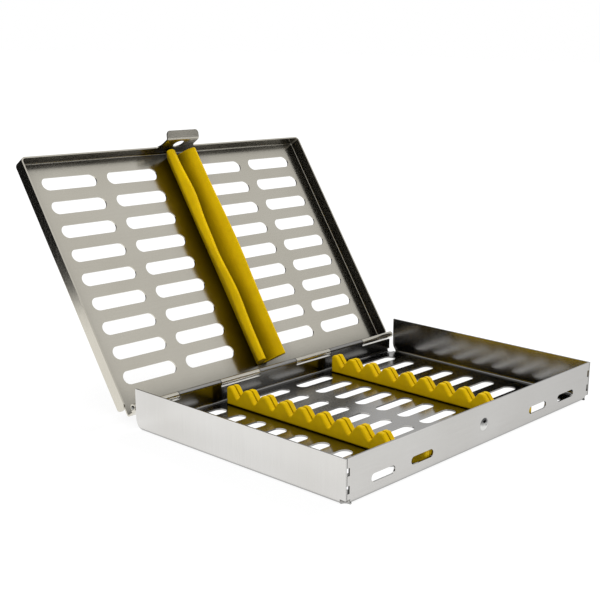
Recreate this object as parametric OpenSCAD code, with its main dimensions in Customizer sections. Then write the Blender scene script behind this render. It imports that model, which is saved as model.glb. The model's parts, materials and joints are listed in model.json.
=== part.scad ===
// Instrument cassette for a dental clinic, in millimetres.
// A perforated steel tray with two toothed silicone rails, and a perforated lid
// on a curled hinge, with a silicone hold-down strip and a snap tab.
// X runs along the hinge, Y from the front wall to the hinge, Z up.
// The origin is the middle of the tray's underside.

/* [Tray] */
// length of the tray, along the hinge
tray_w = 200; // [160:1:260]
// depth of the tray, from the front wall to the back wall
tray_d = 140; // [120:1:180]
// height of the front and side walls
tray_h = 21; // [18:0.5:30]
// thickness of the steel sheet
sheet = 0.8; // [0.6:0.1:1]
// inner radius of the tray's bends
tray_bend = 1.2; // [0.8:0.1:2]
// gap between the back wall's ends and the side walls' outer faces
back_wall_inset = 3.1; // [2:0.1:6]
// distance from the back wall's outer face to the side walls' back ends
side_wall_setback = 1.6; // [1:0.1:3]
// radius of the side walls' lower back corners
side_corner_r = 6; // [3:0.5:8]

/* [Floor slots] */
// length of a slot in the inner columns
floor_inner_l = 26.8; // [16:0.2:30]
// length of a slot in the outer columns
floor_outer_l = 36.4; // [20:0.2:38]
// width of a floor slot
floor_slot_w = 7.4; // [4:0.1:9]
// number of slot rows from front to back
floor_rows = 9; // [5:2:9]
// distance between slot rows
floor_pitch = 14.55; // [10:0.05:15]
// distance from the middle to the inner slot columns
floor_inner_x = 17.4; // [16:0.1:18]
// distance from the middle to the outer slot columns
floor_outer_x = 69; // [67:0.1:74]

/* [Front wall] */
// length of a front wall slot
front_slot_l = 16; // [8:0.2:20]
// width of a front wall slot
front_slot_w = 3.9; // [2:0.1:5]
// height of the front slots' centres above the underside
front_slot_z = 7.6; // [5.5:0.1:10]
// distance from the middle to the inner pair of front slots
front_inner_x = 48; // [40:0.5:52]
// distance from the middle to the outer pair of front slots
front_outer_x = 75.3; // [72:0.5:82]
// gap of the open seams between the front wall and the side walls
seam_gap = 0.3; // [0.2:0.05:0.6]
// width of the notches beside the seams
seam_notch_w = 1.7; // [0.8:0.1:2.5]
// height of a seam notch
seam_notch_h = 3.6; // [2:0.1:5]
// height of the lower seam notch's centre
seam_notch_low_z = 6.8; // [5:0.1:8]
// height of the upper seam notch's centre
seam_notch_high_z = 14.8; // [13:0.1:16]

/* [Rails] */
// distance from the middle to each rail's centre line
rail_x = 40.9; // [38:0.1:44]
// distance from the tray's middle to the rails' middle, less than zero towards the front
rail_y = -2.5; // [-4:0.1:2]
// width of a rail
rail_w = 7; // [5:0.1:8]
// height of a rail above the floor
rail_h = 10; // [9:0.1:12]
// height of the valleys between the teeth
valley_h = 4; // [3:0.1:5]
// number of teeth on a rail
tooth_count = 11; // [7:2:11]
// distance between neighbouring teeth
tooth_pitch = 12.25; // [11:0.05:12.5]
// radius of the teeth's tips
tip_r = 1.6; // [1:0.1:2]
// radius of the valley bottoms
valley_r = 1.2; // [0.8:0.1:1.6]
// width of the slit that splits a rail into two combs
rail_slit_w = 1; // [0.6:0.1:1.6]
// height of the slit's floor above the tray's floor
rail_slit_floor = 1.2; // [0.8:0.1:3]
// diameter of the plug that holds a rail in the floor
rail_plug_d = 5; // [3:0.1:5]

/* [Hinge] */
// outer diameter of the curled knuckles
knuckle_d = 3.6; // [3.2:0.1:4.4]
// height of the hinge axis above the underside
hinge_z = 10.6; // [8:0.1:14]
// number of knuckles, shared in turn by lid and tray
knuckle_count = 7; // [3:2:11]
// gap between neighbouring knuckles
knuckle_gap = 0.4; // [0.3:0.1:1]
// angle of the lid, from closed
open_angle = 124; // [0:1:124]

/* [Lid] */
// gap between the lid's rims and the tray's walls
lid_gap = 0.8; // [0.7:0.1:1.2]
// gap between the closed lid's plate and the tray's walls
lid_seat = 0.3; // [0.3:0.1:1]
// inner radius of the lid's bends
lid_bend = 0.6; // [0.4:0.1:0.6]
// outer radius of the lid's front corners, seen from above
lid_corner_r = 2.6; // [2:0.1:2.6]
// depth of the lid's front and side rims, inside
rim_h = 7; // [5:0.1:9]
// radius of the side rims' free corners
rim_corner_r = 3; // [1:0.1:3.5]
// width of the notches in the lid's back corners
back_notch_w = 5; // [3:0.1:8]
// length of the notches, from the back rim forward
back_notch_l = 3; // [2:0.1:4]
// radius of the side rims' back corners beside the plate
back_corner_r = 4.2; // [2:0.1:4.2]
// length of a lid slot
lid_slot_l = 34; // [20:0.2:36]
// width of a lid slot
lid_slot_w = 7.4; // [4:0.1:9]
// number of slot rows in the lid
lid_rows = 9; // [5:1:9]
// distance between the lid's slot rows
lid_pitch = 13.95; // [10:0.05:14.1]
// distance from the hinge axis to the first slot row
lid_row_first = 17.8; // [15:0.1:20]
// distance from the middle to the inner slot columns
lid_inner_x = 32.3; // [30:0.1:34]
// distance from the middle to the outer slot columns
lid_outer_x = 73.6; // [71:0.1:78]

/* [Hold-down strip] */
// half width of the strip where it meets the lid
strip_base = 4; // [3:0.1:6]
// half width of the strip across its lips
strip_tip = 10.5; // [8:0.1:12]
// height of the strip
strip_h = 11; // [6:0.1:11.4]
// thickness of the web between the lips
strip_web = 1.8; // [1.2:0.1:3]
// width of a lip's end
strip_lip = 4.3; // [2:0.1:5]
// distance from the hinge axis to the strip's back end
strip_start = 6; // [6:0.5:20]
// length of the strip
strip_l = 132.5; // [100:0.5:132.5]
// diameter of the plugs that hold the strip in the lid
strip_plug_d = 4; // [2:0.1:5]

/* [Latch] */
// width of the snap tab
tab_w = 23; // [16:0.5:30]
// depth of the tab's bend below the lid's plate
tab_bend_depth = 14.8; // [14.4:0.1:15]
// inner radius of the tab's bend
tab_bend = 1; // [0.6:0.1:2]
// angle through which the finger lip turns out
lip_angle = 62; // [30:1:70]
// length of the finger lip
lip_l = 4.2; // [4:0.1:5]
// radius of the finger lip's corners
lip_corner_r = 2.5; // [1:0.1:3]
// radius of the flares where the tab leaves the rim
tab_flare_r = 3.8; // [1:0.1:4]
// height of the stud's centre above the underside
stud_z = 10.8; // [10.6:0.1:12]
// diameter of the stud's head
stud_d = 6.4; // [4:0.1:6.6]
// height of the stud's head
stud_h = 1.3; // [1:0.1:1.6]
// gap between the stud's head and the tab's hole
stud_gap = 0.3; // [0.2:0.05:0.5]

/* [Hidden] */
$fn = 24;
slot_fn = 16;
small_fn = 16;
over = 1;
weld = 0.05;
// tray
half_w = tray_w / 2;
half_d = tray_d / 2;
tray_bend_out = tray_bend + sheet;
floor_half_w = half_w - tray_bend_out;
floor_half_d = half_d - tray_bend_out;
side_wall_end = half_d - side_wall_setback;
side_wall_l = side_wall_end + half_d;
front_wall_w = tray_w - 2 * (sheet + seam_gap);
back_wall_w = tray_w - 2 * back_wall_inset;
corner_relief_r = 2.4;
corner_relief_h = tray_bend_out + sheet / 2;
back_relief_r = 1.8;
// hinge: the back wall is tangent to the knuckles' fronts, the lid's rim to their backs
knuckle_r = knuckle_d / 2;
bore_r = knuckle_r - sheet;
pin_clearance = 0.05;
pin_r = bore_r - pin_clearance;
pin_chamfer = 0.3;
pin_overhang = 0.4;
hinge_y = half_d - sheet + knuckle_r;
knuckle_pitch = tray_w / knuckle_count;
knuckle_clear = 0.4;
curl_gap = 0.3;
// lid, drawn closed
lid_top = tray_h + lid_seat + sheet;
lid_inner = lid_top - sheet;
lid_bend_out = lid_bend + sheet;
lid_half_w = half_w + lid_gap + sheet;
lid_front = -(half_d + lid_gap + sheet);
lid_back = hinge_y + knuckle_r;
lid_l = lid_back - lid_front;
lid_plate_half_w = lid_half_w - lid_bend_out;
rim_rise = rim_h + sheet;
rim_edge_z = lid_top - rim_rise;
side_rim_back = lid_back - back_notch_l;
side_rim_l = side_rim_back - lid_front - lid_corner_r;
front_rim_w = 2 * (lid_half_w - lid_corner_r);
back_rim_half_w = half_w - knuckle_gap / 2;
back_rim_rise = lid_top - hinge_z;
// rails: the straight flank of a tooth runs into the tip's and the valley's circles
tip_centre_h = rail_h - tip_r;
valley_centre_h = valley_h + valley_r;
flank_drop = tip_centre_h - valley_centre_h;
flank_angle = atan2(flank_drop, tooth_pitch / 2)
    + asin((tip_r + valley_r) / norm([tooth_pitch / 2, flank_drop]));
flank_top_x = (tip_r - weld) * sin(flank_angle);
flank_top_h = tip_centre_h + (tip_r - weld) * cos(flank_angle);
flank_foot_x = tooth_pitch / 2 - (valley_r - weld) * sin(flank_angle);
flank_foot_h = valley_centre_h - (valley_r - weld) * cos(flank_angle);
rail_l = (tooth_count - 1) * tooth_pitch + 2 * tip_r;
plug_clearance = 0.05;
// strip
strip_back = hinge_y - strip_start;
strip_plug_count = 4;
strip_plug_step = strip_l / strip_plug_count;
// latch
tab_out_y = lid_front;
tab_bend_y = tab_out_y - tab_bend;
tab_bend_z = lid_inner - tab_bend_depth;
tab_hole_r = stud_d / 2 + stud_gap;
stud_dome_r = (stud_d * stud_d / 4 + stud_h * stud_h) / (2 * stud_h);
stud_shank_r = 1.5;
stud_tail_r = 2.3;
stud_tail_h = 0.5;

steel = [0.80, 0.80, 0.78];
pin_steel = [0.62, 0.62, 0.61];
silicone = [0.87, 0.71, 0.02];

// Profiles

// a slot with round ends, lying along x
module slot_2d(length, width) {
    square([length - width, width], center = true);
    for (side = [-1, 1])
        translate([side * (length - width) / 2, 0])
            circle(d = width, $fn = slot_fn);
}

// a block whose lower left corner is rounded
module round_block_2d(run, rise, radius) {
    translate([radius, 0])
        square([run - radius, rise]);
    translate([0, radius])
        square([run, rise - radius]);
    intersection() {
        square(radius);
        translate([radius, radius])
            circle(r = radius);
    }
}

// a bent sheet: one leg along x, the other up along y
module angle_2d(run, rise, radius) {
    difference() {
        round_block_2d(run, rise, radius + sheet);
        translate([sheet, sheet])
            round_block_2d(run, rise, radius);
    }
}

// a plate whose two lower corners are rounded
module rounded_foot_2d(width, height, radius) {
    translate([-width / 2, radius])
        square([width, height - radius]);
    intersection() {
        union() {
            translate([-width / 2 + radius, 0])
                square([width - 2 * radius, height]);
            for (side = [-1, 1])
                translate([side * (width / 2 - radius), radius])
                    circle(r = radius);
        }
        translate([-width / 2, 0])
            square([width, height]);
    }
}

// extrude a profile of (y, z) points along x
module along_x(length) {
    rotate([90, 0, 90])
        linear_extrude(height = length, center = true)
            children();
}

// extrude a profile of (x, z) points along y, from the origin forward
module along_y(length) {
    rotate([90, 0, 0])
        linear_extrude(height = length)
            children();
}

// a round bar along x, from x1 to x2 on the hinge axis
module hinge_bar(x1, x2, radius) {
    translate([x1, hinge_y, hinge_z])
        rotate([0, 90, 0])
            cylinder(h = x2 - x1, r = radius);
}

// Hinge knuckles: even places belong to the lid, odd places to the tray

module knuckle_places(first) {
    for (place = [first : 2 : knuckle_count - 1])
        translate([(place + 0.5 - knuckle_count / 2) * knuckle_pitch, 0, 0])
            children();
}

// solid knuckles, before the bore
module knuckle_bars(first) {
    half = (knuckle_pitch - knuckle_gap) / 2;
    knuckle_places(first)
        hinge_bar(-half, half, knuckle_r);
}

// room for the other leaf's knuckles
module knuckle_room(first) {
    half = (knuckle_pitch + knuckle_gap) / 2;
    reach = knuckle_r + knuckle_clear;
    knuckle_places(first)
        translate([-half, hinge_y - reach, hinge_z - reach])
            cube([2 * half, 2 * reach, 2 * reach]);
}

module hinge_bore() {
    hinge_bar(-half_w - over, half_w + over, bore_r);
}

// Tray

module tray_floor() {
    translate([-floor_half_w, -floor_half_d, 0])
        cube([2 * floor_half_w, 2 * floor_half_d, sheet]);
}

module tray_side_wall() {
    intersection() {
        translate([-half_w, side_wall_end, 0])
            along_y(side_wall_l)
                angle_2d(2 * tray_bend_out, tray_h, tray_bend);
        translate([-half_w, side_wall_end - side_wall_l / 2, 0])
            along_x(4 * tray_bend_out)
                side_outline_2d();
    }
}

// side view of a side wall, with its lower back corner rounded
module side_outline_2d() {
    translate([-side_wall_l / 2, 0])
        square([side_wall_l - side_corner_r, tray_h]);
    translate([-side_wall_l / 2, side_corner_r])
        square([side_wall_l, tray_h - side_corner_r]);
    translate([side_wall_l / 2 - side_corner_r, side_corner_r])
        circle(r = side_corner_r);
}

module tray_front_wall() {
    translate([0, -half_d, 0])
        along_x(front_wall_w)
            angle_2d(2 * tray_bend_out, tray_h, tray_bend);
}

module tray_back_wall() {
    translate([0, half_d, 0])
        along_x(back_wall_w)
            mirror([1, 0])
                angle_2d(2 * tray_bend_out, hinge_z, tray_bend);
}

module floor_slot(column, row, length) {
    translate([column, (row - (floor_rows - 1) / 2) * floor_pitch, -over])
        linear_extrude(height = sheet + 2 * over)
            slot_2d(length, floor_slot_w);
}

module floor_slots() {
    for (row = [0 : floor_rows - 1])
        for (side = [-1, 1]) {
            floor_slot(side * floor_inner_x, row, floor_inner_l);
            floor_slot(side * floor_outer_x, row, floor_outer_l);
        }
}

module front_slots() {
    for (column = [-front_outer_x, -front_inner_x, front_inner_x, front_outer_x])
        translate([column, -half_d + sheet + over, front_slot_z])
            along_y(sheet + 2 * over)
                slot_2d(front_slot_l, front_slot_w);
}

// notches beside the front seams, and the relief holes where three faces meet
module corner_cuts() {
    for (side = [-1, 1]) {
        for (z = [seam_notch_low_z, seam_notch_high_z])
            translate([side * (front_wall_w / 2 + (seam_gap - seam_notch_w) / 2), -half_d, z])
                cube([seam_notch_w, 4 * sheet, seam_notch_h], center = true);
        translate([side * (half_w - sheet), -half_d + sheet, -over])
            cylinder(h = corner_relief_h + over, r = corner_relief_r);
        translate([side * (back_wall_w / 2), side_wall_end, -over])
            cylinder(h = corner_relief_h + over, r = back_relief_r, $fn = small_fn);
    }
}

// a rail's one plug, through the middle of the floor's depth
module rail_plug(radius) {
    cylinder(h = sheet, r = radius, $fn = small_fn);
}

module stud_shank_hole() {
    translate([0, -half_d + sheet + over, stud_z])
        rotate([90, 0, 0])
            cylinder(h = sheet + 2 * over, r = stud_shank_r + plug_clearance, $fn = small_fn);
}

// the slit where a base knuckle's curl comes back to the wall
module base_curl_gap() {
    translate([-half_w, half_d, hinge_z - knuckle_r - over])
        cube([tray_w, curl_gap, knuckle_r + over - curl_gap]);
}

module base_tray() {
    color(steel)
        difference() {
            union() {
                tray_floor();
                tray_side_wall();
                mirror([1, 0, 0])
                    tray_side_wall();
                tray_front_wall();
                difference() {
                    tray_back_wall();
                    knuckle_room(0);
                }
                difference() {
                    knuckle_bars(1);
                    base_curl_gap();
                }
            }
            hinge_bore();
            floor_slots();
            front_slots();
            corner_cuts();
            stud_shank_hole();
            for (side = [-1, 1])
                translate([side * rail_x, 0, -over])
                    scale([1, 1, (sheet + 2 * over) / sheet])
                        rail_plug(rail_plug_d / 2 + plug_clearance);
        }
}

// Hinge pin

module hinge_pin() {
    end = half_w + pin_overhang - pin_chamfer;
    color(pin_steel) {
        hinge_bar(-end, end, pin_r);
        for (side = [0, 1])
            mirror([side, 0, 0])
                translate([end, hinge_y, hinge_z])
                    rotate([0, 90, 0])
                        cylinder(h = pin_chamfer, r1 = pin_r, r2 = pin_r - pin_chamfer);
    }
}

// Rails

// side view of a rail: a base with straight flanks, cut by round valleys, and round
// tips; the ends stand upright under the last tips
module rail_2d() {
    difference() {
        union() {
            translate([-rail_l / 2, 0])
                square([rail_l, flank_foot_h]);
            tooth_places(tooth_count)
                polygon([[-flank_foot_x, flank_foot_h], [-flank_top_x, flank_top_h],
                         [flank_top_x, flank_top_h], [flank_foot_x, flank_foot_h]]);
        }
        tooth_places(tooth_count - 1)
            translate([0, valley_centre_h])
                circle(r = valley_r, $fn = small_fn);
    }
    tooth_places(tooth_count)
        translate([0, tip_centre_h])
            circle(r = tip_r, $fn = small_fn);
    for (side = [0, 1])
        mirror([side, 0])
            translate([rail_l / 2 - tip_r, 0])
                square([tip_r, tip_centre_h]);
}

module tooth_places(count) {
    for (place = [0 : count - 1])
        translate([(place - (count - 1) / 2) * tooth_pitch, 0])
            children();
}

module rail(side) {
    slit_z = sheet + rail_slit_floor;
    color(silicone)
        translate([side * rail_x, 0, 0]) {
            difference() {
                translate([0, rail_y, sheet])
                    along_x(rail_w)
                        rail_2d();
                translate([-rail_slit_w / 2, rail_y - rail_l / 2 - over, slit_z])
                    cube([rail_slit_w, rail_l + 2 * over, rail_h]);
            }
            rail_plug(rail_plug_d / 2);
        }
}

module left_rail() {
    rail(-1);
}

module right_rail() {
    rail(1);
}

// Latch stud: a round head outside, a shank through the wall and a flat tail inside

module latch_stud() {
    color(pin_steel)
        translate([0, -half_d, stud_z])
            rotate([90, 0, 0]) {
                intersection() {
                    translate([0, 0, stud_h - stud_dome_r])
                        sphere(r = stud_dome_r);
                    cylinder(h = stud_h, d = stud_d);
                }
                translate([0, 0, -sheet])
                    cylinder(h = sheet, r = stud_shank_r, $fn = small_fn);
                translate([0, 0, -sheet - stud_tail_h])
                    cylinder(h = stud_tail_h, r = stud_tail_r);
            }
}

// Lid, drawn closed and then turned open about the hinge axis

module opened() {
    translate([0, hinge_y, hinge_z])
        rotate([-open_angle, 0, 0])
            translate([0, -hinge_y, -hinge_z])
                children();
}

// the flat plate, left out where the front corners turn
module lid_plate() {
    for (edge = [[lid_plate_half_w, lid_corner_r], [front_rim_w / 2, lid_bend_out]])
        translate([-edge[0], lid_front + edge[1], lid_inner])
            cube([2 * edge[0], lid_l - lid_bend_out - edge[1], sheet]);
}

// cross-section of the lid's skirt: the origin is its outer top corner
module skirt_2d(run) {
    mirror([0, 1])
        angle_2d(run, rim_rise, lid_bend);
}

module lid_side_rim() {
    intersection() {
        translate([-lid_half_w, side_rim_back, lid_top])
            along_y(side_rim_l)
                skirt_2d(2 * lid_bend_out);
        translate([-lid_half_w, side_rim_back - side_rim_l / 2, rim_edge_z])
            along_x(8 * lid_bend_out)
                rim_outline_2d();
    }
}

// side view of a side rim, with its lower back corner rounded
module rim_outline_2d() {
    translate([-side_rim_l / 2, 0])
        square([side_rim_l - rim_corner_r, rim_rise]);
    translate([-side_rim_l / 2, rim_corner_r])
        square([side_rim_l, rim_rise - rim_corner_r]);
    translate([side_rim_l / 2 - rim_corner_r, rim_corner_r])
        circle(r = rim_corner_r);
}

module lid_front_rim() {
    translate([0, lid_front, lid_top])
        along_x(front_rim_w)
            skirt_2d(2 * lid_bend_out);
}

// the skirt's quarter turn round a front corner
module lid_corner() {
    translate([-lid_half_w + lid_corner_r, lid_front + lid_corner_r, lid_top])
        rotate([0, 0, 180])
            rotate_extrude(angle = 90)
                intersection() {
                    translate([lid_corner_r, 0])
                        mirror([1, 0])
                            skirt_2d(lid_corner_r + over);
                    translate([0, -rim_rise])
                        square([lid_corner_r, rim_rise]);
                }
}

module lid_back_rim() {
    translate([0, lid_back, lid_top])
        along_x(2 * back_rim_half_w)
            mirror([1, 0])
                mirror([0, 1])
                    angle_2d(2 * lid_bend_out, back_rim_rise, lid_bend);
}

module lid_slots() {
    for (column = [-lid_outer_x, -lid_inner_x, lid_inner_x, lid_outer_x])
        for (row = [0 : lid_rows - 1])
            translate([column, hinge_y - lid_row_first - row * lid_pitch, lid_inner - over])
                linear_extrude(height = sheet + 2 * over)
                    slot_2d(lid_slot_l, lid_slot_w);
}

// notches in the back corners, which leave the side rims' back ends rounded
module lid_back_notches() {
    drop = lid_top - hinge_z - knuckle_r - knuckle_clear;
    for (side = [-1, 1])
        translate([side * lid_half_w, lid_back, lid_top])
            along_x(2 * back_notch_w)
                difference() {
                    translate([-back_notch_l - back_corner_r, -drop])
                        square([back_notch_l + back_corner_r + over, drop + over]);
                    translate([-back_notch_l, 0])
                        mirror([1, 0])
                            mirror([0, 1])
                                round_block_2d(back_corner_r + over, drop + over, back_corner_r);
                }
}

// the slit where a lid knuckle's curl comes back to the rim
module lid_curl_gap() {
    translate([-half_w, hinge_y + bore_r - curl_gap, hinge_z + curl_gap])
        cube([tray_w, curl_gap, knuckle_r]);
}

// front view of the tab's flat part, with a flare on each side below the rim
module tab_front_2d() {
    drop = rim_edge_z - tab_bend_z;
    translate([-tab_w / 2, tab_bend_z])
        square([tab_w, drop + rim_h / 2]);
    for (side = [-1, 1])
        translate([side * tab_w / 2, rim_edge_z])
            difference() {
                translate([-tab_flare_r, -tab_flare_r])
                    square([2 * tab_flare_r, 2 * tab_flare_r]);
                translate([side * tab_flare_r, -tab_flare_r])
                    circle(r = tab_flare_r);
            }
}

// side view of the tab's bend: a slice of a ring
module tab_bend_2d() {
    reach = 2 * (tab_bend + sheet);
    intersection() {
        difference() {
            circle(r = tab_bend + sheet);
            circle(r = tab_bend);
        }
        polygon([[0, 0], [reach, 0], [reach, -reach * tan(lip_angle / 2)],
                 [reach * cos(lip_angle), -reach * sin(lip_angle)]]);
    }
}

module lid_tab() {
    translate([0, lid_front + sheet, 0])
        along_y(sheet)
            tab_front_2d();
    translate([0, tab_bend_y, tab_bend_z]) {
        along_x(tab_w)
            tab_bend_2d();
        rotate([-lip_angle, 0, 0])
            translate([0, tab_bend + sheet, -lip_l])
                along_y(sheet)
                    rounded_foot_2d(tab_w, lip_l + weld, lip_corner_r);
    }
}

module tab_hole() {
    translate([0, lid_front + sheet + over, stud_z])
        rotate([90, 0, 0])
            cylinder(h = sheet + 2 * over, r = tab_hole_r);
}

// holes in the lid that take the strip's plugs
module strip_plugs(radius) {
    for (place = [0 : strip_plug_count - 1])
        translate([0, strip_back - (place + 0.5) * strip_plug_step, lid_inner])
            cylinder(h = sheet, r = radius, $fn = small_fn);
}

module lid_shell() {
    color(steel)
        opened()
            difference() {
                union() {
                    lid_plate();
                    lid_side_rim();
                    mirror([1, 0, 0])
                        lid_side_rim();
                    lid_front_rim();
                    lid_corner();
                    mirror([1, 0, 0])
                        lid_corner();
                    lid_tab();
                    difference() {
                        lid_back_rim();
                        knuckle_room(1);
                    }
                    difference() {
                        knuckle_bars(0);
                        lid_curl_gap();
                    }
                }
                hinge_bore();
                lid_slots();
                lid_back_notches();
                tab_hole();
                translate([0, 0, -over])
                    strip_plug_holes();
            }
}

module strip_plug_holes() {
    for (place = [0 : strip_plug_count - 1])
        translate([0, strip_back - (place + 0.5) * strip_plug_step, lid_inner])
            cylinder(h = sheet + 2 * over, r = strip_plug_d / 2 + plug_clearance, $fn = small_fn);
}

// Hold-down strip: a V of two lips on a narrow web

module strip_2d() {
    mirror([0, 1])
        polygon([[-strip_base, 0], [-strip_tip, strip_h], [-strip_tip + strip_lip, strip_h],
                 [0, strip_web],
                 [strip_tip - strip_lip, strip_h], [strip_tip, strip_h], [strip_base, 0]]);
}

module lid_strip() {
    color(silicone)
        opened() {
            translate([0, strip_back, lid_inner])
                along_y(strip_l)
                    strip_2d();
            strip_plugs(strip_plug_d / 2);
        }
}

base_tray();
hinge_pin();
left_rail();
right_rail();
latch_stud();
lid_shell();
lid_strip();
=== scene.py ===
# Looks of a dental instrument cassette: brushed steel on the tray and the lid, moulded silicone
# rails and strip in place of their plain solids, and a white studio with a few dark cards.

import json
import math

import bmesh
import bpy
from mathutils import Matrix, Vector


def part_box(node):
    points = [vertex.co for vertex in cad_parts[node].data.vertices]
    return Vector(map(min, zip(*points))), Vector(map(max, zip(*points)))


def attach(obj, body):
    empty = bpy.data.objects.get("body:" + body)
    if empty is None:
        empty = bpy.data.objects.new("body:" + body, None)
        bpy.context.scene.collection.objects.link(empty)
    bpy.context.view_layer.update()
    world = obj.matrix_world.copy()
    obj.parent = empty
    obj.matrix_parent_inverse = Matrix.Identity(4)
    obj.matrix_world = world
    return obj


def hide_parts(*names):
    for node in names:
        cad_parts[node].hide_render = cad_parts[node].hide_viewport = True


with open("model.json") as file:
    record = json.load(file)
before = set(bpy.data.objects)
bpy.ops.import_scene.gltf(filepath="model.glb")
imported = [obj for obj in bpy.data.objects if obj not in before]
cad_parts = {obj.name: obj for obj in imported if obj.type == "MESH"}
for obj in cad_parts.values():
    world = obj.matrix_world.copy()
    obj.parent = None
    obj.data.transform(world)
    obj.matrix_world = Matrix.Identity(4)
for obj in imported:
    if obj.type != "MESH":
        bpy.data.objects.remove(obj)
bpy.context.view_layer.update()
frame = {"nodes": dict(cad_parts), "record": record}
MM = 0.001

# Camera: a pinhole camera fitted to the photograph, in millimetres and pixels

PHOTO_SIDE = 600
FOCAL_PX = 1109.8
CENTRE_PX = (372.7, 343.7)
CAMERA_PLACE = (-421.0, -354.1, 188.1)
CAMERA_RIGHT = (0.64877, -0.76074, 0.01921)
CAMERA_DOWN = (-0.18894, -0.18549, -0.96431)
SENSOR = 36
# nearest and furthest that it sees, in metres
CLIP = (0.01, 50)


def make_camera():
    """The camera that sees the part as the photograph does."""
    data = bpy.data.cameras.new("camera")
    camera = bpy.data.objects.new("camera", data)
    bpy.context.scene.collection.objects.link(camera)
    bpy.context.scene.camera = camera
    right = Vector(CAMERA_RIGHT).normalized()
    down = Vector(CAMERA_DOWN)
    down = (down - right * down.dot(right)).normalized()
    back = right.cross(-down)
    turn = Matrix((right, -down, back)).transposed()
    camera.matrix_world = Matrix.Translation(Vector(CAMERA_PLACE) * MM) @ turn.to_4x4()
    data.sensor_width = SENSOR
    data.lens = FOCAL_PX / PHOTO_SIDE * SENSOR
    data.shift_x = (PHOTO_SIDE / 2 - CENTRE_PX[0]) / PHOTO_SIDE
    data.shift_y = (CENTRE_PX[1] - PHOTO_SIDE / 2) / PHOTO_SIDE
    data.clip_start, data.clip_end = CLIP


# Node helpers

# the middle part of a noise's values, where nearly all of them lie
NOISE_SPAN = (0.3, 0.7)
# the part of the ambient occlusion's values over which the painted crevice shade changes
PAINTED_SHADE_SPAN = (0.25, 0.9)
# samples of the ambient occlusion that paints that shade
PAINTED_SHADE_SAMPLES = 8
# half width, in metres, of the change between faces that look inwards and outwards
FACING_BLEND = 0.001
# half of the tray's width, in metres
HALF_WIDTH = 0.1


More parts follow.
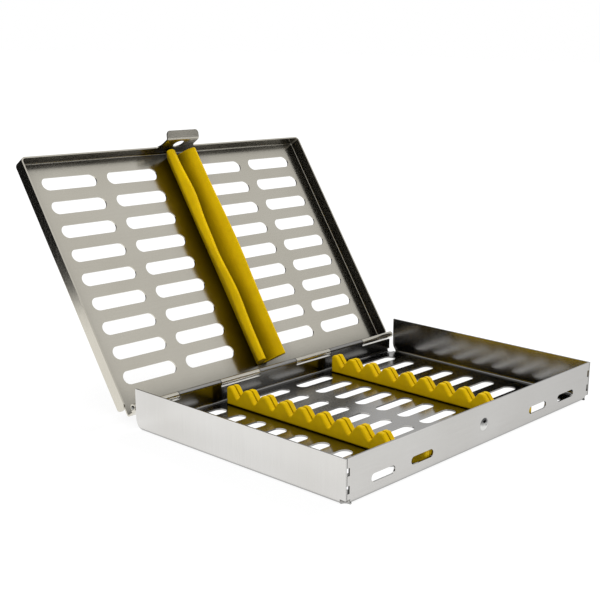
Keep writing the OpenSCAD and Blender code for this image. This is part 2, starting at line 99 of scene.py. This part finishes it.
class Nodes:
    """A material's node tree, with short calls to add, set and join its nodes."""

    def __init__(self, name):
        self.material = bpy.data.materials.new(name)
        self.material.use_nodes = True
        self.tree = self.material.node_tree
        self.shader = self.tree.nodes["Principled BSDF"]

    def add(self, kind, **settings):
        node = self.tree.nodes.new("ShaderNode" + kind)
        for key, value in settings.items():
            setattr(node, key, value)
        return node

    def join(self, source, target):
        self.tree.links.new(source, target)

    def set(self, **values):
        for key, value in values.items():
            self.shader.inputs[key.replace("_", " ")].default_value = value

    def math(self, operation, *values):
        node = self.add("Math", operation=operation)
        for socket, value in zip(node.inputs, values):
            if isinstance(value, (int, float)):
                socket.default_value = value
            else:
                self.join(value, socket)
        return node.outputs["Value"]

    def sheet_place(self, scale):
        """Coordinates on the folded sheet: along the grain and across it, stretched by scale."""
        coordinates = self.add("TexCoord")
        place = self.add("SeparateXYZ")
        normal = self.add("SeparateXYZ")
        self.join(coordinates.outputs["Object"], place.inputs["Vector"])
        self.join(coordinates.outputs["Normal"], normal.inputs["Vector"])
        sideways = self.math("ABSOLUTE", normal.outputs["X"])
        x, y, z = (place.outputs[axis] for axis in "XYZ")
        along = self.math("ADD", x, self.math("MULTIPLY", z, sideways))
        across = self.math("ADD", y, self.math("MULTIPLY", z, self.math("SUBTRACT", 1, sideways)))
        merged = self.add("CombineXYZ")
        self.join(self.math("MULTIPLY", along, scale[0]), merged.inputs["X"])
        self.join(self.math("MULTIPLY", across, scale[1]), merged.inputs["Y"])
        return merged.outputs["Vector"]

    def noise(self, scale, detail=4.0, rough=0.6, place=None):
        node = self.add("TexNoise")
        node.inputs["Scale"].default_value = scale
        node.inputs["Detail"].default_value = detail
        node.inputs["Roughness"].default_value = rough
        self.join(place or self.add("TexCoord").outputs["Object"], node.inputs["Vector"])
        return node.outputs["Fac"]

    def span(self, value, low, high, source=NOISE_SPAN):
        """A number that goes from low to high as the value goes through the source's span."""
        node = self.add("MapRange")
        node.inputs["From Min"].default_value = source[0]
        node.inputs["From Max"].default_value = source[1]
        node.inputs["To Min"].default_value = low
        node.inputs["To Max"].default_value = high
        self.join(value, node.inputs["Value"])
        return node.outputs["Result"]

    def blend(self, value, first, last, source=NOISE_SPAN):
        """A colour that goes from the first to the last as the value goes through the source's span."""
        node = self.add("ValToRGB")
        for element, place, colour in zip(node.color_ramp.elements, source, (first, last)):
            element.position = place
            element.color = (*colour, 1)
        self.join(value, node.inputs["Fac"])
        return node.outputs["Color"]

    def tint(self, colour, shade, share):
        """The colour multiplied by the shade, by that share, a number or another node's output."""
        node = self.add("Mix", data_type="RGBA", blend_type="MULTIPLY")
        if isinstance(share, (int, float)):
            node.inputs["Factor"].default_value = share
        else:
            self.join(share, node.inputs["Factor"])
        self.join(colour, node.inputs["A"])
        self.join(shade, node.inputs["B"])
        return node.outputs["Result"]

    def painted_crevice_shade(self, distance, low):
        """A painted shade from ambient occlusion, that falls from 1 to low where other surfaces stand
        closer than the distance.
        """
        node = self.add("AmbientOcclusion", samples=PAINTED_SHADE_SAMPLES)
        node.inputs["Distance"].default_value = distance
        return self.span(node.outputs["AO"], low, 1, PAINTED_SHADE_SPAN)

    def inward(self, centre, inner, outer):
        """The inner value on faces that look towards the centre, and the outer one on the others."""
        coordinates = self.add("TexCoord")
        outward = self.add("VectorMath", operation="SUBTRACT")
        self.join(coordinates.outputs["Object"], outward.inputs[0])
        outward.inputs[1].default_value = centre
        facing = self.add("VectorMath", operation="DOT_PRODUCT")
        self.join(outward.outputs["Vector"], facing.inputs[0])
        self.join(coordinates.outputs["Normal"], facing.inputs[1])
        return self.span(facing.outputs["Value"], inner, outer, (-FACING_BLEND, FACING_BLEND))

    def sides(self, left, right):
        """A painted shade from left to right for the faces that don't look along x, and 1 for the others.
        """
        coordinates = self.add("TexCoord")
        place, normal = self.add("SeparateXYZ"), self.add("SeparateXYZ")
        self.join(coordinates.outputs["Object"], place.inputs["Vector"])
        self.join(coordinates.outputs["Normal"], normal.inputs["Vector"])
        sideways = self.math("ABSOLUTE", normal.outputs["X"])
        shade = self.span(place.outputs["X"], left, right, (-HALF_WIDTH, HALF_WIDTH))
        return self.math("ADD", self.math("MULTIPLY", shade, self.math("SUBTRACT", 1, sideways)), sideways)

    def bump(self, height, strength, distance):
        node = self.add("Bump")
        node.inputs["Strength"].default_value = strength
        node.inputs["Distance"].default_value = distance
        self.join(height, node.inputs["Height"])
        self.join(node.outputs["Normal"], self.shader.inputs["Normal"])


# Materials

# scale of the brushing's noise along the grain and across it
GRAIN = (30, 1500)
STAINED = (0.88, 0.87, 0.85)
CLEAN = (1, 1, 1)
STAIN_SHARE = 0.5
# how far the clouds move the border between polished steel's own colour and its painted dark reflection on
# top
BLOTCH = 0.5
DEEP_YELLOW = (0.60, 0.39, 0.0)
LIGHT_YELLOW = (0.68, 0.45, 0.0)
# how far red, green and blue light spread in silicone, in metres
SILICONE_SPREAD = (0.004, 0.0025, 0.0005)


def brushed_steel(name, low, high, roughness, anisotropy, across, centre, inner, sides):
    """Brushed stainless steel between two colours, stained a little, with painted shade. Inner
    faces, which look towards the centre, are darkened by the inner painted shade and by painted
    crevice shade that reaches far, and the others by painted crevice shade that reaches a short
    way. The grain runs along x, or up and down on faces that look along x, and reflections smear
    in the direction of across. The painted side shade is the pair of painted shades at the left
    end and at the right one of faces that don't look along x."""
    nodes = Nodes(name)
    nodes.set(Metallic=1.0, Anisotropic=anisotropy)
    turn = nodes.add("VectorTransform", vector_type="VECTOR", convert_from="OBJECT", convert_to="WORLD")
    turn.inputs["Vector"].default_value = across
    nodes.join(turn.outputs["Vector"], nodes.shader.inputs["Tangent"])
    streaks = nodes.noise(scale=1, detail=5.0, rough=0.65, place=nodes.sheet_place(GRAIN))
    clouds = nodes.noise(scale=24, detail=3.0, rough=0.5)
    # painted shade from ambient occlusion: reaching far on the inner faces, and a short way on the others
    wide_painted_shade = nodes.painted_crevice_shade(distance=0.02, low=0.25)
    fine_painted_shade = nodes.painted_crevice_shade(distance=0.0025, low=0.15)
    colour = nodes.blend(streaks, low, high)
    colour = nodes.tint(colour, nodes.blend(clouds, STAINED, CLEAN), STAIN_SHARE)
    # painted shade darkens the colour: in each crevice, on the inner faces by the inner shade, and on faces
    # that don't look along x, more towards the right end
    colour = nodes.tint(colour, wide_painted_shade, nodes.inward(centre, 1, 0))
    colour = nodes.tint(colour, fine_painted_shade, nodes.inward(centre, 0, 1))
    colour = nodes.tint(colour, nodes.inward(centre, inner, 1), 1)
    colour = nodes.tint(colour, nodes.sides(*sides), 1)
    nodes.join(colour, nodes.shader.inputs["Base Color"])
    nodes.join(nodes.span(streaks, *roughness), nodes.shader.inputs["Roughness"])
    nodes.bump(streaks, strength=0.015, distance=0.0002)
    return nodes.material


def polished_steel(name, painted_top_reflection, lower):
    """Turned and polished steel of its own colour where it looks down or sideways, with a painted
    dark reflection where it looks up, and a blotched border between them."""
    nodes = Nodes(name)
    nodes.set(Metallic=1.0)
    normal = nodes.add("SeparateXYZ")
    nodes.join(nodes.add("TexCoord").outputs["Normal"], normal.inputs["Vector"])
    clouds = nodes.noise(scale=900, detail=2.0, rough=0.5)
    # painted reflection: dark where the steel looks up, with its border moved by the clouds
    lift = nodes.math("ADD", normal.outputs["Z"], nodes.math("MULTIPLY", clouds, BLOTCH))
    nodes.join(nodes.blend(lift, lower, painted_top_reflection, source=(0.1, 0.7)), nodes.shader.inputs["Base Color"])
    nodes.join(nodes.span(clouds, 0.08, 0.2), nodes.shader.inputs["Roughness"])
    return nodes.material


def silicone(name, distance, low, centre, outer):
    """Soft yellow silicone with small moulding marks, and painted shade in its hollows that falls
    to the low shade: in full on faces that look towards the centre, and by the outer share on the others."""
    nodes = Nodes(name)
    nodes.set(Subsurface_Weight=0.1, Subsurface_Radius=SILICONE_SPREAD, Subsurface_Scale=0.3,
              Specular_IOR_Level=0.12)
    clouds = nodes.noise(scale=120, detail=4.0, rough=0.6)
    marks = nodes.noise(scale=900, detail=3.0, rough=0.5)
    colour = nodes.blend(clouds, DEEP_YELLOW, LIGHT_YELLOW)
    # painted shade from ambient occlusion in the hollows
    colour = nodes.tint(colour, nodes.painted_crevice_shade(distance, low), nodes.inward(centre, 1, outer))
    nodes.join(colour, nodes.shader.inputs["Base Color"])
    nodes.join(nodes.span(clouds, 0.45, 0.6), nodes.shader.inputs["Roughness"])
    nodes.bump(marks, strength=0.05, distance=0.0003)
    return nodes.material


def give(piece, material):
    piece.data.materials.clear()
    piece.data.materials.append(material)


# Mesh helpers

def prism(mesh, outline, low, high, rounding=(1, 1)):
    """A closed prism in a bmesh: an outline of (y, z) points between two places on x, and
    how much of the bevel's width the edges round each end get."""
    near, far = ([mesh.verts.new((x, y, z)) for y, z in outline] for x in (low, high))
    layers = mesh.edges.layers.float
    share = layers.get("bevel_weight_edge") or layers.new("bevel_weight_edge")
    for corners in zip(near, far, far[1:] + far[:1], near[1:] + near[:1]):
        mesh.faces.new(corners)
    for end, amount in ((near[::-1], rounding[0]), (far, rounding[1])):
        for edge in mesh.faces.new(end).edges:
            edge[share] = amount


def piece_from(mesh, name, node, body, material, matrix=Matrix.Identity(4)):
    """A finished silicone piece that stands for a CAD node, from a bmesh in millimetres."""
    mesh.transform(matrix)
    bmesh.ops.scale(mesh, vec=(MM, MM, MM), verts=mesh.verts)
    bmesh.ops.recalc_face_normals(mesh, faces=mesh.faces)
    data = bpy.data.meshes.new(name)
    mesh.to_mesh(data)
    mesh.free()
    data.shade_smooth()
    piece = bpy.data.objects.new(name, data)
    bpy.context.scene.collection.objects.link(piece)
    give(piece, material)
    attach(piece, body)
    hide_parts(node)
    return piece


def soften(piece, width, segments=3, angle=50, limit="ANGLE"):
    """Round a piece's edges that are sharper than the angle, or its weighted ones, with a
    width in millimetres."""
    modifier = piece.modifiers.new("soften", "BEVEL")
    modifier.width = width * MM
    modifier.segments = segments
    modifier.limit_method = limit
    modifier.angle_limit = math.radians(angle)
    modifier.harden_normals = True


# Rails: two toothed combs of silicone on one foot, in millimetres

TEETH = 11
# radius at a tooth's tip
TIP_R = 1.6
# half of the flat on a tooth's tip
TIP_FLAT = 0.8
# radius of a valley's bottom, and its height over the floor
VALLEY_R = 1.0
VALLEY_H = 4.6
# width of the slit between the combs
SLIT_W = 0.7
# height of the foot that joins the combs under the slit
FOOT_H = 1.2
# thickness of the tray's floor, on which the rails stand
SHEET = 0.8
ARC_STEPS = 4
# rounding of the edges round a comb's outer side
RAIL_ROUNDING = 1.1
# the share of that rounding on the edges along the slit
SLIT_ROUNDING = 0.3


def arc(centre, radius, start, end, side=1):
    """Points round an arc: angles in degrees from straight up (side 1) or down (-1)."""
    turns = [math.radians(start + (end - start) * k / ARC_STEPS) for k in range(ARC_STEPS + 1)]
    return [(centre[0] + radius * math.sin(a), centre[1] + side * radius * math.cos(a)) for a in turns]


def rail_outline(back, front, top):
    """The side view of a rail as (y, z) points, from its front end over the teeth to its back."""
    pitch = (back - front - 2 * TIP_R) / (TEETH - 1)
    tip_z = top - TIP_R
    valley_z = SHEET + VALLEY_H + VALLEY_R
    drop = tip_z - valley_z
    run = pitch / 2 - TIP_FLAT
    flank = math.degrees(math.atan2(drop, run) + math.asin((TIP_R + VALLEY_R) / math.hypot(run, drop)))
    points = [(front, SHEET)]
    for tooth in range(TEETH):
        y = front + TIP_R + tooth * pitch
        first, last = tooth == 0, tooth == TEETH - 1
        points += arc((y - (0 if first else TIP_FLAT), tip_z), TIP_R, -90 if first else -flank, 0)
        points += arc((y + (0 if last else TIP_FLAT), tip_z), TIP_R, 0, 90 if last else flank)
        if not last:
            points += arc((y + pitch / 2, valley_z), VALLEY_R, -flank, flank, -1)
    return points + [(back, SHEET)]


def make_rail(name, material):
    """A rail as large as its plain solid in the frame."""
    low, high = (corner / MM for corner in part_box(name))
    outline = rail_outline(high.y, low.y, high.z)
    middle = (low.x + high.x) / 2
    foot = [(low.y, SHEET), (low.y, SHEET + FOOT_H), (high.y, SHEET + FOOT_H), (high.y, SHEET)]
    mesh = bmesh.new()
    prism(mesh, outline, low.x, middle - SLIT_W / 2, (1, SLIT_ROUNDING))
    prism(mesh, outline, middle + SLIT_W / 2, high.x, (SLIT_ROUNDING, 1))
    prism(mesh, foot, middle - SLIT_W, middle + SLIT_W, (0, 0))
    soften(piece_from(mesh, name + "_silicone", name, "tray", material), RAIL_ROUNDING, limit="WEIGHT")


# Strip: a V of two soft lips under the lid, drawn closed and turned open, in millimetres

# height of the plate's inner face with the lid closed
LID_INNER = 21.3
# distance from the hinge axis to the strip's near end, and its length and height
STRIP_START = 6.0
STRIP_L = 132.5
STRIP_H = 11.8
# half widths of the section at the plate and at the lips
STRIP_BASE = 4.0
STRIP_TIP = 10.5
# how far the strip lies to the right of the lid's middle
STRIP_SHIFT = 0.5
# thickness of a lip's round edge
LIP = 4.3
# how far the round edge stays inside the half width
LIP_INSET = 0.3
# degrees that the round edge goes through
LIP_ARC = 125
LIP_STEPS = 8
# right half of the groove between the lips, from a lip's edge to the bottom: (x, depth)
GROOVE = ((5.2, 10.3), (3.9, 8.6), (2.7, 6.0), (1.6, 3.4), (0.7, 2.1), (0, 1.8))
# steps along the strip
STATIONS = 66
STRIP_ROUNDING = 0.5
# how the soft lips' edges wander: (distance from the hinge, half length, how far)
LEFT_OUTER_WAVES = ((51, 14, 1.6), (92, 12, -0.5))
LEFT_INNER_WAVES = ((47, 15, 1.6), (72, 9, -0.6), (111, 13, 2.2))
RIGHT_WAVES = ((78, 28, 1.4),)
# the power of the depth by which the wandering grows from the plate to the lips
SWAY_POWER = 1.5


def lip_outline():
    """The right half of the strip's section: (x, depth, place across the lip from outer to inner)."""
    radius = LIP / 2
    lean = math.atan2(STRIP_TIP - STRIP_BASE, STRIP_H)
    centre_x = STRIP_TIP - radius - LIP_INSET
    centre_depth = STRIP_H - radius
    tip = []
    for step in range(LIP_STEPS + 1):
        across = step / LIP_STEPS
        turn = math.radians(LIP_ARC) * across - lean
        tip.append((centre_x + radius * math.cos(turn), centre_depth + radius * math.sin(turn), across))
    return [(STRIP_BASE, 0, 0)] + tip + [(x, depth, 1) for x, depth in GROOVE]


def wander(distance, waves):
    """How far an edge lies out of line at a distance from the hinge."""
    return sum(far * math.exp(-((distance - middle) / length) ** 2) for middle, length, far in waves)


def strip_ring(mesh, section, distance, back):
    """The strip's section at a distance from the hinge, with its lips a little out of line."""
    outer = wander(distance, LEFT_OUTER_WAVES)
    inner = wander(distance, LEFT_INNER_WAVES)
    right = wander(distance, RIGHT_WAVES)
    ring = []
    for x, depth, across in section:
        sway = right if x > 0 else outer + (inner - outer) * across
        sway *= min(1, depth / STRIP_H) ** SWAY_POWER
        ring.append(mesh.verts.new((x + STRIP_SHIFT + sway, back - distance, LID_INNER - depth)))
    return ring


def make_strip(material):
    """The strip as a skin over its rings, turned with the lid to the open pose."""
    joint = frame["record"]["behaviour"]["joints"][0]
    axis = Vector(joint["pos_m"]) / MM
    half = lip_outline()
    section = half + [(-x, depth, across) for x, depth, across in reversed(half[:-1])]
    mesh = bmesh.new()
    rings = [strip_ring(mesh, section, STRIP_START + STRIP_L * station / STATIONS, axis.y)
             for station in range(STATIONS + 1)]
    for ring, after in zip(rings, rings[1:]):
        for a, b, c, d in zip(ring, ring[1:] + ring[:1], after[1:] + after[:1], after):
            mesh.faces.new((a, b, c, d))
    mesh.faces.new(rings[0][::-1])
    mesh.faces.new(rings[-1])
    turn = Matrix.Rotation(-math.radians(joint["range_deg"][1]), 4, "X")
    opened = Matrix.Translation(axis) @ turn @ Matrix.Translation(-axis)
    soften(piece_from(mesh, "strip_silicone", "lid_strip", "lid", material, opened), STRIP_ROUNDING)


# Floor, reflections and light, in metres

FLOOR_SIZE = 20
# how brightly the floor glows for the camera and for reflections
FLOOR_GLOW = 1.1
# the glow's share up to the near distance from the part; beyond the far one it is whole
NEAR_SHARE = 0.8
NEAR, FAR = 0.2, 0.9
# strength of the white world as a light
WORLD_LIGHT = 0.3


def seen_or_mirrored(tree):
    """1 for rays that the camera or a reflection sends out, 0 for light that falls on things."""
    path = tree.nodes.new("ShaderNodeLightPath")
    total = path.outputs["Is Camera Ray"]
    for name in ("Is Glossy Ray", "Is Transmission Ray"):
        add = tree.nodes.new("ShaderNodeMath")
        add.operation = "MAXIMUM"
        tree.links.new(total, add.inputs[0])
        tree.links.new(path.outputs[name], add.inputs[1])
        total = add.outputs[0]
    return total


def make_floor():
    """A white floor that keeps a soft shadow near the part and fades to the white world."""
    bpy.ops.mesh.primitive_plane_add(size=FLOOR_SIZE)
    floor = bpy.context.object
    floor.name = "floor"
    nodes = Nodes("floor")
    nodes.set(Base_Color=(0.88, 0.88, 0.88, 1), Roughness=0.9, Specular_IOR_Level=0.1)
    glow = nodes.add("Emission")
    glow.inputs["Strength"].default_value = FLOOR_GLOW
    mixer = nodes.add("MixShader")
    distance = nodes.add("VectorMath", operation="LENGTH")
    nodes.join(nodes.add("TexCoord").outputs["Object"], distance.inputs[0])
    share = nodes.span(distance.outputs["Value"], NEAR_SHARE, 1, (NEAR, FAR))
    nodes.join(nodes.math("MULTIPLY", share, seen_or_mirrored(nodes.tree)), mixer.inputs["Fac"])
    nodes.join(nodes.shader.outputs["BSDF"], mixer.inputs[1])
    nodes.join(glow.outputs["Emission"], mixer.inputs[2])
    nodes.join(mixer.outputs["Shader"], nodes.tree.nodes["Material Output"].inputs["Surface"])
    give(floor, nodes.material)


def make_world():
    """A world that is white to look at and in reflections, and a weaker light."""
    world = bpy.data.worlds.new("world")
    bpy.context.scene.world = world
    world.use_nodes = True
    background = world.node_tree.nodes["Background"]
    background.inputs["Color"].default_value = (1, 1, 1, 1)
    strength = world.node_tree.nodes.new("ShaderNodeMapRange")
    strength.inputs["To Min"].default_value = WORLD_LIGHT
    strength.inputs["To Max"].default_value = 1
    world.node_tree.links.new(seen_or_mirrored(world.node_tree), strength.inputs["Value"])
    world.node_tree.links.new(strength.outputs["Result"], background.inputs["Strength"])


def dark_card(name, shade, corners):
    """A card that only reflections see, as a studio's black flags are used on steel. Its
    corners are in millimetres."""
    data = bpy.data.meshes.new(name)
    data.from_pydata([Vector(corner) * MM for corner in corners], [], [range(len(corners))])
    card = bpy.data.objects.new(name, data)
    bpy.context.scene.collection.objects.link(card)
    nodes = Nodes(name)
    nodes.set(Base_Color=(shade, shade, shade, 1), Roughness=1.0, Specular_IOR_Level=0.0)
    give(card, nodes.material)
    card.visible_camera = card.visible_diffuse = card.visible_shadow = False


def soft_lamp(name, place, size, power):
    """A square lamp aimed at the part, which polished steel doesn't mirror as a hot spot."""
    data = bpy.data.lights.new(name, "AREA")
    data.shape = "SQUARE"
    data.size = size
    data.energy = power
    lamp = bpy.data.objects.new(name, data)
    bpy.context.scene.collection.objects.link(lamp)
    lamp.location = place
    lamp.rotation_mode = "QUATERNION"
    lamp.rotation_quaternion = (-Vector(place)).to_track_quat("-Z", "Y")
    lamp.visible_glossy = False


# The camera and the part's looks

# points that the inner faces of the tray and of the open lid look towards
TRAY_INSIDE = (0, 0, 0.03)
LID_INSIDE = (0, 0.109, 0.0694)
# where reflections smear: up and back on the tray, and up along the open lid's plate
ACROSS_TRAY = (0, 1, 1)
ACROSS_LID = (0, 0.56, 0.83)

make_camera()
# painted shade: the inner shade darkens the inner faces, and the last pair darkens faces that don't look
# along x towards the right end
tray_steel = brushed_steel("tray_steel", low=(0.69, 0.68, 0.66), high=(0.73, 0.72, 0.70),
                           roughness=(0.14, 0.20), anisotropy=0.7, across=ACROSS_TRAY,
                           centre=TRAY_INSIDE, inner=0.5, sides=(0.83, 0.62))
lid_steel = brushed_steel("lid_steel", low=(0.65, 0.62, 0.54), high=(0.69, 0.66, 0.58),
                          roughness=(0.16, 0.24), anisotropy=0.6, across=ACROSS_LID,
                          centre=LID_INSIDE, inner=0.73, sides=(1, 0.92))
# painted reflection: both are dark where they look up; the pin's low colour is darkened as painted shade of
# the hinge tube's dark end
stud_steel = polished_steel("stud_steel", painted_top_reflection=(0.10, 0.10, 0.10), lower=(0.66, 0.66, 0.64))
pin_steel = polished_steel("pin_steel", painted_top_reflection=(0.10, 0.10, 0.10), lower=(0.30, 0.30, 0.29))
# painted shade in the hollows: light on the rails, and deep on the strip, in the groove between its lips
# and on its undercut flank
rail_yellow = silicone("silicone", distance=0.008, low=0.7, centre=TRAY_INSIDE, outer=1)
strip_yellow = silicone("strip_silicone", distance=0.014, low=0.15, centre=LID_INSIDE, outer=0)

for name, material in (("base_tray", tray_steel), ("lid_shell", lid_steel),
                       ("hinge_pin", pin_steel), ("latch_stud", stud_steel)):
    give(frame["nodes"][name], material)
for name in ("base_tray", "lid_shell"):
    soften(frame["nodes"][name], 0.15, segments=2, angle=40)
soften(frame["nodes"]["latch_stud"], 0.6, segments=4, angle=40)
make_rail("left_rail", rail_yellow)
make_rail("right_rail", rail_yellow)
make_strip(strip_yellow)

# The studio

make_floor()
make_world()
# behind the part: mirrored in the outside of the lid's left rim and in the tray's floor
dark_card("card_back", 0.01, ((-1300, -100, 0), (840, 760, 0), (840, 760, 420), (-1300, -100, 420)))
# in front, with a gap that keeps the tab's end light: mirrored in the inside of the lid's front rim
dark_card("card_front", 0.02, ((100, -750, 40), (505, -492, 40), (505, -492, 330), (100, -750, 330)))
dark_card("card_right", 0.02, ((545, -467, 40), (650, -400, 40), (650, -400, 330), (545, -467, 330)))
# on the left: mirrored in the insides of the lid's right rim and of the tray's right wall
dark_card("card_left", 0.02, ((-900, -900, 150), (-1200, 250, 150), (-1200, 250, 1600), (-900, -900, 1600)))
# the key lamp stands high at the front left, and the other one high on the right
soft_lamp("key", (-0.9, -0.9, 1.3), size=1.6, power=20)
soft_lamp("side", (1.3, 0.1, 1.1), size=0.9, power=26)

bpy.context.scene.view_settings.view_transform = "Standard"
